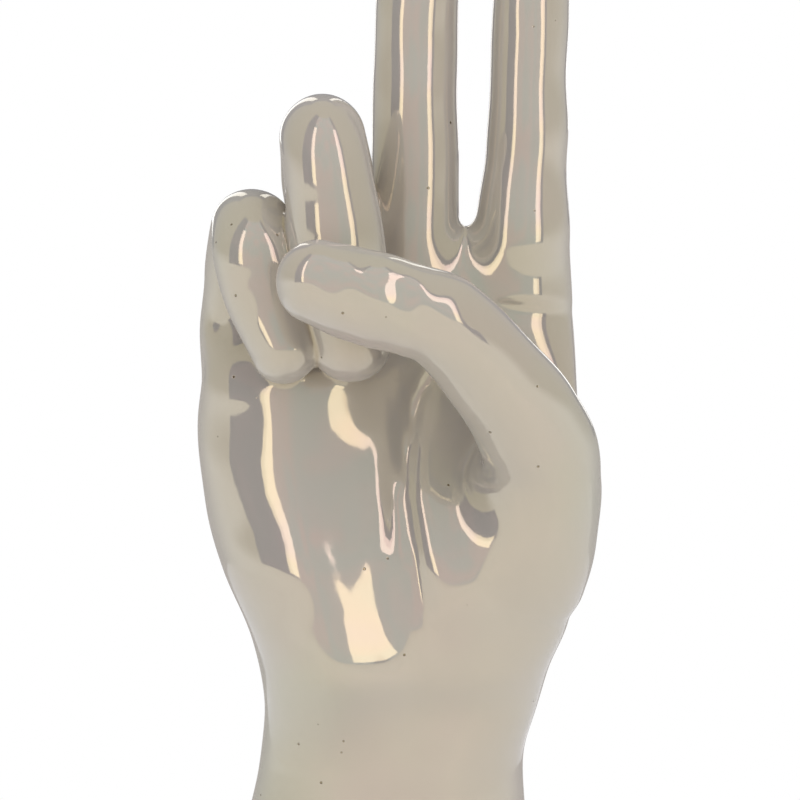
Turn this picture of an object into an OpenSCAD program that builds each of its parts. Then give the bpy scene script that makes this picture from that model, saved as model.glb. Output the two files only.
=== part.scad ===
// Hollow slip-cast ceramic hand with two raised fingers, standing on its cut wrist.
// The palm faces -Y, the fingers point up +Z and the thumb starts on the +X side.
// The palm, the five digits and the floor slab are separate castings that meet along luted faces.

/* [Raised fingers] */
// Height of the middle fingertip above the table
middle_top = 250; // [242:1:262]
// Height of the index fingertip above the table
index_top = 241.5; // [233:0.5:253]
// Radius of the middle finger at its middle joint
middle_r = 10.3; // [9.6:0.1:11]
// Radius of the index finger at its middle joint
index_r = 9.6; // [9:0.1:10.2]
// How many degrees the raised fingers lean back
lean = 4.5; // [0:0.5:7]
// Distance from the middle of the foot to the middle finger's centre line
middle_x = 6; // [5:0.5:8]
// Distance from the palm's thumb-side edge to the index finger's centre line
index_edge = 12.8; // [12:0.2:13.6]

/* [Folded fingers] */
// Height of the folded ring finger's top
ring_top = 197.5; // [194:0.5:201]
// Radius of the ring finger at its bend
ring_r = 11.8; // [11:0.1:12.4]
// Distance between the centre lines of the middle and ring fingers
ring_pitch = 17.5; // [16.5:0.5:18.5]
// Height of the folded little finger's top
little_top = 175.5; // [172:0.5:179]
// Radius of the little finger at its bend
little_r = 9.8; // [9.2:0.1:10.4]
// Distance from the palm's outer edge to the little finger's centre line
little_edge = 12.4; // [11.6:0.2:13.2]
// Distance between the palm and the centre line of a folded fingertip
fold_gap = 9; // [8:0.5:10]

/* [Thumb] */
// Radius of the thumb at its middle joint
thumb_r = 12; // [11.2:0.1:12.8]
// Distance from the hand's middle plane to the thumb's front at its middle joint
thumb_front = 53; // [51:0.5:55]
// Distance from the palm's thumb-side edge to the centre line of the thumb's root
thumb_edge = 11; // [10:0.5:12]

/* [Palm] */
// Width across the palm at its widest
palm_w = 90; // [84:1:96]
// Thickness of the palm below the knuckles
palm_t = 31; // [28:0.5:34]
// Height of the skin between the raised fingers
palm_top = 163.5; // [158:0.5:169]
// How far the ball of the thumb stands out of the palm
thenar_h = 7.5; // [5:0.5:10]
// How far the heel and outer side of the palm stand out
heel_h = 10; // [7:0.5:13]
// Slope from the heel's ridge into the hollow of the palm
heel_slope = 0.6; // [0.4:0.05:0.8]
// Depth of the crease between the palm and the ball of the thumb
crease_h = 3; // [2:0.5:6]

/* [Wrist and foot] */
// Height of the narrowest part of the wrist
wrist_h = 52; // [46:1:56]
// Width of the narrowest part of the wrist
wrist_w = 61; // [57:1:65]
// Depth of the narrowest part of the wrist
wrist_d = 43; // [40:1:47]
// Width of the foot
foot_w = 75; // [70:1:82]
// Depth of the foot
foot_d = 50; // [47:1:56]

/* [Casting] */
// Wall thickness of the palm and wrist casting
wall = 5; // [4:0.25:6]
// Wall thickness of the finger castings
finger_wall = 3.5; // [2.5:0.25:4.5]
// Width of the foot ring round the floor slab
foot_ring = 4.5; // [3.5:0.25:6]
// Width of the ledge that the floor slab seats against
ledge = 2.5; // [1.5:0.25:4]
// Thickness of the floor slab
floor_t = 5; // [4:0.5:7]
// Diameter of the vent hole in the floor slab
vent_d = 12; // [8:1:16]
// Thickness of the non-slip rubber pad
pad_t = 1.5; // [1:0.25:3]
// How far the pad's edge stays inside the foot's edge
pad_inset = 2; // [1:0.25:4]

/* [Hidden] */

// Corners round each ring, and rings between two stations
digit_sides = 26;
bore_sides = 12;
palm_sides = 72;
digit_steps = 3;
bore_steps = 2;
palm_steps = 2;
cap_rings = 5;

glaze = [0.74, 0.70, 0.64];
bisque = [0.86, 0.83, 0.78];
rubber_grey = [0.20, 0.20, 0.21];
// How squarely the foot's outline is drawn, from 2 for an ellipse upwards
foot_square = 2.2;
// Distance past a face that a cut runs
clear = 1;

half_w = palm_w / 2;
front = palm_t / 2;
index_x = half_w - index_edge;
ring_x = middle_x - ring_pitch;
little_x = little_edge - half_w;
thumb_x = half_w - thumb_edge;
slope = tan(lean);

// A station is [x, y, z, half width, half depth].
// Each list runs from the root inside the palm to the centre of the fingertip.
index_tip = 8;
index_joint = palm_top + 26.5;
index_end = index_top - index_tip;
index_stations = [
    [index_x - 1.2, 0, palm_top - 13.5, index_r + 1.4, index_r + 0.6],
    [index_x - 0.5, 0, palm_top - 0.5, index_r + 1.9, index_r + 1.0],
    [index_x, 9.5 * slope, palm_top + 9.5, index_r + 1.1, index_r + 0.4],
    [index_x + 0.6, 18.5 * slope, palm_top + 18.5, index_r + 0.2, index_r - 0.2],
    [index_x + 0.9, 26.5 * slope, index_joint, index_r, index_r - 0.1],
    [index_x + 1.2, 38.5 * slope, part_way(index_joint, index_end, 0.28), index_r - 0.4, index_r - 0.8],
    [index_x + 1.8, 53.5 * slope, part_way(index_joint, index_end, 0.62), index_r - 0.4, index_r - 0.8],
    [index_x + 2.4, 62.5 * slope, part_way(index_joint, index_end, 0.83), index_r - 0.9, index_r - 1.4],
    [index_x + 2.8, 70 * slope, index_end, index_r - 1.6, index_r - 2.1]];

middle_tip = 9;
middle_joint = palm_top + 33.5;
middle_end = middle_top - middle_tip;
middle_stations = [
    [middle_x - 0.5, 1, palm_top - 13.5, middle_r + 0.5, middle_r],
    [middle_x, 1, palm_top - 0.5, middle_r + 0.7, middle_r + 0.2],
    [middle_x + 0.3, 1 + 9.5 * slope, palm_top + 9.5, middle_r + 0.3, middle_r - 0.3],
    [middle_x + 0.4, 1 + 20.5 * slope, palm_top + 20.5, middle_r, middle_r - 0.7],
    [middle_x + 0.4, 1 + 33.5 * slope, middle_joint, middle_r, middle_r - 0.4],
    [middle_x + 0.7, 1 + 44.5 * slope, part_way(middle_joint, middle_end, 0.25), middle_r - 0.4,
        middle_r - 1.2],
    [middle_x + 1.0, 1 + 57.5 * slope, part_way(middle_joint, middle_end, 0.55), middle_r - 0.4,
        middle_r - 1.1],
    [middle_x + 1.2, 1 + 67.5 * slope, part_way(middle_joint, middle_end, 0.77), middle_r - 1.0,
        middle_r - 1.7],
    [middle_x + 1.3, 1 + 77.5 * slope, middle_end, middle_r - 1.7, middle_r - 2.4]];

// A folded finger climbs out of the palm, bends over and comes down with its tip on the palm.
fold_y = -front - fold_gap;
ring_tip = 8.6;
ring_bend = 10.5;
ring_stations = [
    [ring_x + 1.5, 2, palm_top - 23.5, ring_r - 1.3, ring_r - 1.3],
    [ring_x + 0.5, 0, palm_top - 11.5, ring_r - 1.3, ring_r - 1.8],
    [ring_x - 1.2, -4, palm_top + 2.5, ring_r - 1.3, ring_r - 1.8],
    [ring_x - 2.8, -9.5, ring_top - 18.5, ring_r - 0.9, ring_r - 1.8],
    [ring_x - 3.8, fold_y + 5.6, ring_top - ring_bend, ring_r - 1.7, ring_bend],
    [ring_x - 3.2, fold_y - 0.2, ring_top - 14, ring_r - 1.6, ring_r - 1],
    [ring_x - 1.6, fold_y - 1.5, palm_top + 7.5, ring_r - 0.9, ring_r - 0.8],
    [ring_x + 0.1, fold_y - 2, palm_top - 3.5, ring_r - 0.7, ring_r - 1.1],
    [ring_x + 1.7, fold_y - 1, palm_top - 14.5, ring_r - 1.2, ring_r - 2.8],
    [ring_x + 3.0, fold_y, palm_top - 24.7, ring_r - 2.4, ring_r - 3.2]];

little_tip = 7.4;
little_bend = 9;
little_stations = [
    [little_x + 2.6, 1.5, palm_top - 35.5, little_r - 1.5, little_r - 1.5],
    [little_x, 1, palm_top - 23.5, little_r - 0.3, little_r - 0.7],
    [little_x - 1.2, -2, palm_top - 12.5, little_r, little_r - 0.6],
    [little_x - 0.6, -7, little_top - 15, little_r, little_r - 0.6],
    [little_x + 0.7, fold_y + 10, little_top - little_bend, little_r - 0.1, little_bend],
    [little_x + 1.2, fold_y + 3, little_top - 14.5, little_r + 0.1, little_r - 1.1],
    [little_x + 3.4, fold_y + 0.5, palm_top - 11, little_r, little_r - 2.2],
    [little_x + 6.0, fold_y - 0.1, palm_top - 19, little_r - 0.7, little_r - 2.2],
    [little_x + 8.4, fold_y - 1.1, palm_top - 26.5, little_r - 1.9, little_r - 2.0]];

// On the thumb the half width is measured front to back, and the half depth along the palm.
thumb_tip = 9.6;
thumb_deep = thumb_r - 1.5;
thumb_y = thumb_deep - thumb_front;
thumb_stations = [
    [thumb_x - 2.0, thumb_y + 32.5, palm_top - 79.5, thumb_deep + 1.5, thumb_r],
    [thumb_x, thumb_y + 25.5, palm_top - 67.5, thumb_deep + 3.5, thumb_r + 1.6],
    [thumb_x + 2.0, thumb_y + 18.5, palm_top - 52.5, thumb_deep + 2.2, thumb_r + 1.8],
    [thumb_x - 2.0, thumb_y + 11.5, palm_top - 41.7, thumb_deep + 1.2, thumb_r + 0.9],
    [thumb_x - 10, thumb_y + 5.5, palm_top - 30.9, thumb_deep + 0.4, thumb_r - 0.1],
    [ring_x + 25.2, thumb_y, palm_top - 20.3, thumb_deep, thumb_r - 0.7],
    [ring_x + 17.2, thumb_y - 1.8, palm_top - 17.1, thumb_deep - 0.3, thumb_r - 1.2],
    [ring_x + 9.9, thumb_y - 2.4, palm_top - 14.9, thumb_deep - 0.1, thumb_r - 0.9],
    [ring_x + 2.0, thumb_y - 2.5, palm_top - 12.5, thumb_deep - 0.2, thumb_r - 1.1],
    [ring_x - 4.7, thumb_y - 2.3, palm_top - 10.3, thumb_deep - 0.9, thumb_r - 2.0]];

// A palm row is [height, left edge, right edge, front, back, squareness, rise per mm to the right].
foot_top = pad_t + 10.5;
palm_rows = [
    [pad_t, -foot_w / 2, foot_w / 2, -foot_d / 2, foot_d / 2, foot_square, 0],
    [foot_top, 1.5 - foot_w / 2, foot_w / 2 - 1.6, 1.4 - foot_d / 2, foot_d / 2 - 0.5, foot_square, 0],
    [wrist_h / 2, -wrist_w / 2 - 3, wrist_w / 2 + 2.4, -wrist_d / 2 - 0.5, wrist_d / 2 + 2, 2.2, 0],
    [wrist_h - 12, 0.2 - wrist_w / 2, wrist_w / 2 + 1.5, -wrist_d / 2 - 0.1, wrist_d / 2 + 0.8, 2.2, 0],
    [wrist_h, 1.1 - wrist_w / 2, wrist_w / 2 + 4.4, -wrist_d / 2, wrist_d / 2 - 0.5, 2.4, 0],
    [wrist_h + 10, 0.3 - wrist_w / 2, wrist_w / 2 + 7.5, -wrist_d / 2 - 3.1, wrist_d / 2 - 1.8, 2.6, 0],
    [palm_top - 89.5, 11.1 - half_w, half_w - 2.5, -front - 8.2, front + 3, 2.8, 0],
    [palm_top - 77.5, 5.8 - half_w, half_w - 0.4, -front - 6.3, front + 2, 2.9, 0],
    [palm_top - 65.5, 2.6 - half_w, half_w + 1.4, -front - 3, front + 1.2, 2.8, 0.02],
    [palm_top - 51.5, 0.6 - half_w, half_w + 0.8, 0.2 - front, front + 0.7, 2.7, 0.04],
    [palm_top - 37.5, -half_w, half_w - 0.4, 2.5 - front, front + 0.3, 2.8, 0.07],
    [palm_top - 23.5, 1.8 - half_w, half_w - 1, 3 - front, front - 0.2, 2.8, 0.11],
    [palm_top - 13.5, 2.6 - half_w, half_w - 2.8, 6 - front, front - 1, 2.8, 0.14],
    [palm_top - 6.5, 4.8 - half_w, half_w - 5.5, 9 - front, front - 2.5, 2.7, 0.16],
    [palm_top - 2, 8 - half_w, half_w - 9, 12 - front, front - 5, 2.5, 0.17],
    [palm_top, 12.5 - half_w, half_w - 13.5, 14.5 - front, front - 8.5, 2.3, 0.17]];

// Knuckles are [x, height, how far they stand out of the back, radius].
knuckles = [
    [little_x, palm_top - 28.5, 2.2, 6.5],
    [ring_x, palm_top - 18.5, 2.6, 7],
    [middle_x + 1, palm_top - 14.5, 3, 7.5],
    [index_x - 2, palm_top - 16.5, 2.8, 7.5]];
// The ball of the thumb is a ridge round this point, [x, height], that climbs at this angle.
thenar = [half_w - 25, palm_top - 81.5];
thenar_turn = 35;
// The heel of the hand is a ridge drawn through [height below the fingers' skin, x].
heel_line = [[-103.5, 31 - half_w], [-93.5, 28.5 - half_w], [-73.5, 24.5 - half_w], [-51.5, 19.5 - half_w],
    [-37.5, 17.5 - half_w]];
// The crease of the palm is drawn through [height below the fingers' skin, x].
crease_line = [[-103.5, 10], [-94.5, 8.5], [-88.5, 6.4], [-72.5, 2.6], [-60.5, 3], [-48.5, 4],
    [-37.5, 6], [-23.5, 12]];

function part_way(from, to, share) = from + (to - from) * share;

function bell(x, width) = exp(-pow(x / width, 2));
function unit(v) = v / norm(v);
function ramp(x, low, high) = let(t = min(max((x - low) / (high - low), 0), 1)) t * t * (3 - 2 * t);

// A smooth curve through a list of vectors, at u from 0 to the last index.
function along(list, u) =
    let(i = min(max(floor(u), 0), len(list) - 2), t = u - i,
        a = list[max(i - 1, 0)], b = list[i], c = list[i + 1], d = list[min(i + 2, len(list) - 1)])
    0.5 * (2 * b + (c - a) * t + (2 * a - 5 * b + 4 * c - d) * t * t
        + (3 * b - a - 3 * c + d) * t * t * t);

function crease_x(z) = lookup(z - palm_top, crease_line);

// One ring of a digit: an ellipse square to the digit's path.
function ellipse_ring(centre, tangent, hinge, wide, deep, sides) =
    let(depth_way = unit(cross(tangent, hinge)), side_way = cross(depth_way, tangent))
    [for (k = [0 : sides - 1]) let(a = 360 * k / sides)
        centre + wide * cos(a) * side_way + deep * sin(a) * depth_way];

function heading(stations, u) =
    let(p = along(stations, u + 0.02), q = along(stations, u - 0.02))
    unit([p.x - q.x, p.y - q.y, p.z - q.z]);

// All rings of a digit, made thinner by inset, with a rounded tip.
// A lead above 0 runs the first ring that far out past the root.
function digit_rings(stations, hinge, tip, inset, sides, steps, lead = 0) =
    let(last = len(stations) - 1, end = stations[last], way = heading(stations, last - 0.02),
        root = stations[0], root_way = heading(stations, 0.02))
    concat(
        [if (lead > 0) ellipse_ring([root.x, root.y, root.z] - lead * root_way, root_way, hinge,
            root[3] - inset, root[4] - inset, sides)],
        [for (k = [0 : last * steps - 1]) let(s = along(stations, k / steps))
            ellipse_ring([s.x, s.y, s.z], heading(stations, max(k / steps, 0.02)), hinge,
                s[3] - inset, s[4] - inset, sides)],
        [for (k = [0 : cap_rings]) let(a = 86 * k / cap_rings)
            ellipse_ring([end.x, end.y, end.z] + way * (tip - inset) * sin(a), way, hinge,
                (end[3] - inset) * cos(a), (end[4] - inset) * cos(a), sides)]);

// A solid through a row of flat rings, hulled two by two.
module chain(rings) {
    for (k = [0 : len(rings) - 2]) {
        corners = concat(rings[k], rings[k + 1]);
        hull() polyhedron(points = corners, faces = [[for (i = [0 : len(corners) - 1]) i]]);
    }
}

module digit(stations, hinge, tip) {
    chain(digit_rings(stations, hinge, tip, 0, digit_sides, digit_steps));
}

module digit_bore(stations, hinge, tip) {
    chain(digit_rings(stations, hinge, tip, finger_wall, bore_sides, bore_steps, clear));
}

// The heel: flat on the outer side, and from its ridge an even slope down into the hollow of the palm.
function heel_swell(x, up) =
    let(out = x - lookup(up, heel_line),
        steepness = heel_slope - 0.003 * (up + 103.5),
        high = heel_h - steepness * (sqrt(pow(max(out, 0), 2) + 6) - sqrt(6)))
    (high + sqrt(high * high + 4)) / 2 * bell(min(out, 0), 34)
    * ramp(up, -125.5, -103.5) * (1 - ramp(up, -37.5, -13.5));

// How far the front of the palm stands out at a point: ball of the thumb, heel and crease.
function front_swell(x, z) =
    let(up = z - palm_top, side = x - thenar[0], rise = z - thenar[1],
        ridge = side * cos(thenar_turn) + rise * sin(thenar_turn),
        off = rise * cos(thenar_turn) - side * sin(thenar_turn))
    thenar_h * bell(ridge, 19) * bell(off, off < 0 ? 13 : 30)
    + heel_swell(x, up)
    - crease_h * bell(x - crease_x(z), 2.6) * ramp(up, -83.5, -63.5) * (1 - ramp(up, -41.5, -21.5));

function back_swell(x, z) =
    let(rises = [for (k = knuckles) k[2] * bell(x - k[0], k[3]) * bell(z - k[1], k[3] * 1.2)])
    rises * [for (k = knuckles) 1];

// The thumb side of the palm curls forwards, and the outer side a little.
function curl(x, z) =
    let(up = z - palm_top, low = ramp(up, -101.5, -73.5) * (1 - ramp(up, -45.5, -17.5)),
        high = ramp(up, -88.5, -58.5) * (1 - ramp(up, -28.5, -8.5)),
        thumb_side = max(x - half_w + 27, 0), outer_side = max(-x - half_w + 27, 0))
    -0.014 * thumb_side * thumb_side * low - 0.006 * outer_side * outer_side * high;

function signed_power(v, p) = sign(v) * pow(abs(v), p);

// One ring of the palm at a row, made smaller all round by inset.
function palm_ring(row, inset, sides) =
    let(mid_x = (row[1] + row[2]) / 2, half_x = (row[2] - row[1]) / 2 - inset,
        mid_y = (row[3] + row[4]) / 2, half_y = (row[4] - row[3]) / 2 - inset)
    [for (k = [0 : sides - 1])
        let(a = 360 * k / sides,
            x = mid_x + half_x * signed_power(cos(a), 2 / row[5]),
            part = signed_power(sin(a), 2 / row[5]),
            z = row[0] + row[6] * x,
            swell = part < 0 ? -front_swell(x, z) * pow(-part, 0.7) : back_swell(x, z) * pow(part, 0.7))
        [x, mid_y + half_y * part + swell + curl(x, z), z]];

function palm_rings(from, to, sides) =
    [for (k = [0 : ceil((to - from) * palm_steps)])
        palm_ring(along(palm_rows, min(from + k / palm_steps, to)), 0, sides)];

// The cavity is a wall's thickness inside the palm, and narrower at the ledge over the floor slab.
function cavity_rings(from, to, sides) =
    [for (k = [0 : ceil((to - from) * palm_steps)])
        let(row = along(palm_rows, min(from + k / palm_steps, to)), top = pad_t + floor_t)
        palm_ring(row, wall + (foot_ring + ledge - wall) * (1 - ramp(row[0], top, top + 14)), sides)];

// A closed skin through rings of equal count, whose first ring lies lowest.
module skin(rings) {
    n = len(rings[0]);
    m = len(rings);
    polyhedron(
        points = [for (r = rings) each r],
        faces = concat(
            [[for (i = [0 : n - 1]) i]],
            [for (j = [0 : m - 2], i = [0 : n - 1])
                let(a = j * n + i, b = j * n + (i + 1) % n, c = b + n, d = a + n)
                each [[a, d, c], [a, c, b]]],
            [[for (i = [n - 1 : -1 : 0]) (m - 1) * n + i]]));
}

// Outline of the foot, made smaller by inset.
function foot_outline(inset) =
    [for (k = [0 : palm_sides - 1]) let(a = 360 * k / palm_sides)
        [(foot_w / 2 - inset) * signed_power(cos(a), 2 / foot_square),
            (foot_d / 2 - inset) * signed_power(sin(a), 2 / foot_square)]];

module foot_plate(inset, height) {
    linear_extrude(height) polygon(foot_outline(inset));
}

sideways = [1, 0, 0];
forwards = [0, 1, 0];

module index_form() { digit(index_stations, sideways, index_tip); }
module middle_form() { digit(middle_stations, sideways, middle_tip); }
module ring_form() { digit(ring_stations, sideways, ring_tip); }
module little_form() { digit(little_stations, sideways, little_tip); }
module thumb_form() { digit(thumb_stations, forwards, thumb_tip); }

module index_finger() {
    color(glaze) difference() {
        index_form();
        digit_bore(index_stations, sideways, index_tip);
    }
}

module middle_finger() {
    color(glaze) difference() {
        middle_form();
        digit_bore(middle_stations, sideways, middle_tip);
        index_form();
    }
}

module ring_finger() {
    color(glaze) difference() {
        ring_form();
        digit_bore(ring_stations, sideways, ring_tip);
        middle_form();
    }
}

module little_finger() {
    color(glaze) difference() {
        little_form();
        digit_bore(little_stations, sideways, little_tip);
        ring_form();
    }
}

module thumb() {
    color(glaze) difference() {
        thumb_form();
        digit_bore(thumb_stations, forwards, thumb_tip);
        ring_form();
        little_form();
        middle_form();
        index_form();
    }
}

// The cavity opens into the recess that the floor slab seats in.
module palm_cavity() {
    skin(cavity_rings((floor_t - clear) / (foot_top - pad_t), len(palm_rows) - 2.5, 36));
}

module hand_body() {
    color(glaze) difference() {
        skin(palm_rings(0, len(palm_rows) - 1, palm_sides));
        palm_cavity();
        translate([0, 0, pad_t - clear]) foot_plate(foot_ring, floor_t + clear);
        index_form();
        middle_form();
        ring_form();
        little_form();
        thumb_form();
    }
}

module base_slab() {
    color(bisque) difference() {
        translate([0, 0, pad_t]) foot_plate(foot_ring, floor_t);
        translate([0, 0, pad_t - clear]) cylinder(h = floor_t + 2 * clear, d = vent_d, $fn = 48);
    }
}

module rubber_pad() {
    color(rubber_grey) foot_plate(pad_inset, pad_t);
}

hand_body();
index_finger();
middle_finger();
ring_finger();
little_finger();
thumb();
base_slab();
rubber_pad();
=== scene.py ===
# %% [markdown]
# # A pearl-glazed ceramic hand
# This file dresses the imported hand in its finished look: one smooth glazed skin over six hollow
# castings, a bare foot ring, the floor slab that closes the wrist and a rubber pad under it.
# It is a lesson in cells. Each step says first what the piece is on the real object and why it is
# made the way it is, and then makes it.

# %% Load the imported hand
import math
import bmesh
import bpy
import numpy as np
import openvdb
from mathutils import Matrix, Vector


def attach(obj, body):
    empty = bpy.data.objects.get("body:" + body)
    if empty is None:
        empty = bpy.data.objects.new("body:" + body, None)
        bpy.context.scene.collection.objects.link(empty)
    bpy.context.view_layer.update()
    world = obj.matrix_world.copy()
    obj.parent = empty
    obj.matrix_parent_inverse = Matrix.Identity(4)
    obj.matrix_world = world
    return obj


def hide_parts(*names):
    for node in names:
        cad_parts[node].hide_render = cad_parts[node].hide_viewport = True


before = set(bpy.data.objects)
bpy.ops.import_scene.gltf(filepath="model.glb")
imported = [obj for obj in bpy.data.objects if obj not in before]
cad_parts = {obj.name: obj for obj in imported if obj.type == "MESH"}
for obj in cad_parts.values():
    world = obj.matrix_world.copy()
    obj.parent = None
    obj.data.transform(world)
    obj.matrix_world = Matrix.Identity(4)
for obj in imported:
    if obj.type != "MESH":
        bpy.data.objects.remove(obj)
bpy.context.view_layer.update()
MM = 0.001
print("nodes:", sorted(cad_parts))

# %% [markdown]
# ## The photographer's camera
# The photograph looks straight at the palm from far away: nothing widens towards the frame's
# edges, so a long lens at 1.5 m is right. At the hand the square frame covers 190 mm, and it
# crops the fingertips and the foot, as the photograph does.

# %% Camera
VIEW_CENTRE = Vector((2.85, 0, 125.9)) * MM
VIEW_DISTANCE = 1500 * MM
VIEW_WIDTH = 190 * MM
SENSOR_MM = 36

camera_data = bpy.data.cameras.new("photo_camera")
camera_data.sensor_width = SENSOR_MM
camera_data.lens = SENSOR_MM * VIEW_DISTANCE / VIEW_WIDTH
camera_data.clip_end = 50
camera = bpy.data.objects.new("photo_camera", camera_data)
camera.location = VIEW_CENTRE + Vector((0, -VIEW_DISTANCE, 0))
camera.rotation_euler = (math.radians(90), 0, 0)
bpy.context.scene.collection.objects.link(camera)
bpy.context.scene.camera = camera
print(f"lens {camera_data.lens:.0f} mm")

# %% [markdown]
# ## The sizes that the model was drawn to
# The solids were drawn from a short list of sizes and, for each digit, a list of stations:
# points along its middle with the half width and half depth there. The same values are used
# here, in millimetres, so that the skin lies where the solids are. Only the relief inside the
# palm is drawn a little finer than theirs, because the mirror of the glaze shows every slope.

# %% Sizes shared with the solids
PALM_W = 90
PALM_T = 31
PALM_TOP = 163.5
MIDDLE_TOP = 250
INDEX_TOP = 241.5
RING_TOP = 197.5
LITTLE_TOP = 175.5
MIDDLE_R = 10.3
INDEX_R = 9.6
RING_R = 11.8
LITTLE_R = 9.8
THUMB_R = 12
THUMB_FRONT = 53
WRIST_H = 52
WRIST_W = 61
WRIST_D = 43
FOOT_W = 75
FOOT_D = 50
FOOT_SQUARE = 2.2
FOOT_RING = 4.5
FLOOR_T = 5
PAD_T = 1.5

half_w = PALM_W / 2
front = PALM_T / 2
index_x = half_w - 12.8
middle_x = 6
ring_x = middle_x - 17.5
little_x = 12.4 - half_w
thumb_x = half_w - 11
fold_y = -front - 9
lean = math.tan(math.radians(4.5))
thumb_deep = THUMB_R - 1.5
thumb_y = thumb_deep - THUMB_FRONT
print(f"palm {PALM_W} mm wide and {PALM_T} mm thick, {MIDDLE_TOP} mm from the table to the highest tip")


def part_way(low, high, share):
    return low + (high - low) * share


def ramp(x, low, high):
    """0 below low, 1 above high, and a soft rise between; works on numbers and arrays."""
    t = np.clip((x - low) / (high - low), 0, 1)
    return t * t * (3 - 2 * t)


def bell(x, width):
    return np.exp(-(x / width) ** 2)


# %% [markdown]
# ## Stations of the five digits
# Each station is x, y, z, half width and half depth. The raised fingers lean back a little, so
# that their fronts mirror the lamps. The two folded fingers climb out of the palm, bend over and
# come down again, and the thumb swings up from the side of the palm and lies over them.

# %% Digit stations
INDEX_TIP = 8
index_joint = PALM_TOP + 26.5
index_end = INDEX_TOP - INDEX_TIP
index_up = [part_way(index_joint, index_end, share) for share in (0.28, 0.62, 0.83)]
index_stations = [
    (index_x - 1.2, 0, PALM_TOP - 13.5, INDEX_R + 1.4, INDEX_R + 0.6),
    (index_x - 0.5, 0, PALM_TOP - 0.5, INDEX_R + 1.9, INDEX_R + 1.0),
    (index_x, 9.5 * lean, PALM_TOP + 9.5, INDEX_R + 1.1, INDEX_R + 0.4),
    (index_x + 0.6, 18.5 * lean, PALM_TOP + 18.5, INDEX_R + 0.2, INDEX_R - 0.2),
    (index_x + 0.9, 26.5 * lean, index_joint, INDEX_R, INDEX_R - 0.1),
    (index_x + 1.2, 38.5 * lean, index_up[0], INDEX_R - 0.4, INDEX_R - 0.8),
    (index_x + 1.8, 53.5 * lean, index_up[1], INDEX_R - 0.4, INDEX_R - 0.8),
    (index_x + 2.4, 62.5 * lean, index_up[2], INDEX_R - 0.9, INDEX_R - 1.4),
    (index_x + 2.8, 70 * lean, index_end, INDEX_R - 1.6, INDEX_R - 2.1)]

MIDDLE_TIP = 9
middle_joint = PALM_TOP + 33.5
middle_end = MIDDLE_TOP - MIDDLE_TIP
middle_up = [part_way(middle_joint, middle_end, share) for share in (0.25, 0.55, 0.77)]
middle_stations = [
    (middle_x - 0.5, 1, PALM_TOP - 13.5, MIDDLE_R + 0.5, MIDDLE_R),
    (middle_x, 1, PALM_TOP - 0.5, MIDDLE_R + 0.7, MIDDLE_R + 0.2),
    (middle_x + 0.3, 1 + 9.5 * lean, PALM_TOP + 9.5, MIDDLE_R + 0.3, MIDDLE_R - 0.3),
    (middle_x + 0.4, 1 + 20.5 * lean, PALM_TOP + 20.5, MIDDLE_R, MIDDLE_R - 0.7),
    (middle_x + 0.4, 1 + 33.5 * lean, middle_joint, MIDDLE_R, MIDDLE_R - 0.4),
    (middle_x + 0.7, 1 + 44.5 * lean, middle_up[0], MIDDLE_R - 0.4, MIDDLE_R - 1.2),
    (middle_x + 1.0, 1 + 57.5 * lean, middle_up[1], MIDDLE_R - 0.4, MIDDLE_R - 1.1),
    (middle_x + 1.2, 1 + 67.5 * lean, middle_up[2], MIDDLE_R - 1.0, MIDDLE_R - 1.7),
    (middle_x + 1.3, 1 + 77.5 * lean, middle_end, MIDDLE_R - 1.7, MIDDLE_R - 2.4)]

ring_stations = [
    (ring_x + 1.5, 2, PALM_TOP - 23.5, RING_R - 1.3, RING_R - 1.3),
    (ring_x + 0.5, 0, PALM_TOP - 11.5, RING_R - 1.3, RING_R - 1.8),
    (ring_x - 1.2, -4, PALM_TOP + 2.5, RING_R - 1.3, RING_R - 1.8),
    (ring_x - 2.8, -9.5, RING_TOP - 18.5, RING_R - 0.9, RING_R - 1.8),
    (ring_x - 3.8, fold_y + 5.6, RING_TOP - 10.5, RING_R - 1.7, 10.5),
    (ring_x - 3.2, fold_y - 0.2, RING_TOP - 14, RING_R - 1.6, RING_R - 1),
    (ring_x - 1.6, fold_y - 1.5, PALM_TOP + 7.5, RING_R - 0.9, RING_R - 0.8),
    (ring_x + 0.1, fold_y - 2, PALM_TOP - 3.5, RING_R - 0.7, RING_R - 1.1),
    (ring_x + 1.7, fold_y - 1, PALM_TOP - 14.5, RING_R - 1.2, RING_R - 2.8),
    (ring_x + 3.0, fold_y, PALM_TOP - 24.7, RING_R - 2.4, RING_R - 3.2)]

little_stations = [
    (little_x + 2.6, 1.5, PALM_TOP - 35.5, LITTLE_R - 1.5, LITTLE_R - 1.5),
    (little_x, 1, PALM_TOP - 23.5, LITTLE_R - 0.3, LITTLE_R - 0.7),
    (little_x - 1.2, -2, PALM_TOP - 12.5, LITTLE_R, LITTLE_R - 0.6),
    (little_x - 0.6, -7, LITTLE_TOP - 15, LITTLE_R, LITTLE_R - 0.6),
    (little_x + 0.7, fold_y + 10, LITTLE_TOP - 9, LITTLE_R - 0.1, 9),
    (little_x + 1.2, fold_y + 3, LITTLE_TOP - 14.5, LITTLE_R + 0.1, LITTLE_R - 1.1),
    (little_x + 3.4, fold_y + 0.5, PALM_TOP - 11, LITTLE_R, LITTLE_R - 2.2),
    (little_x + 6.0, fold_y - 0.1, PALM_TOP - 19, LITTLE_R - 0.7, LITTLE_R - 2.2),
    (little_x + 8.4, fold_y - 1.1, PALM_TOP - 26.5, LITTLE_R - 1.9, LITTLE_R - 2.0)]

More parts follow.
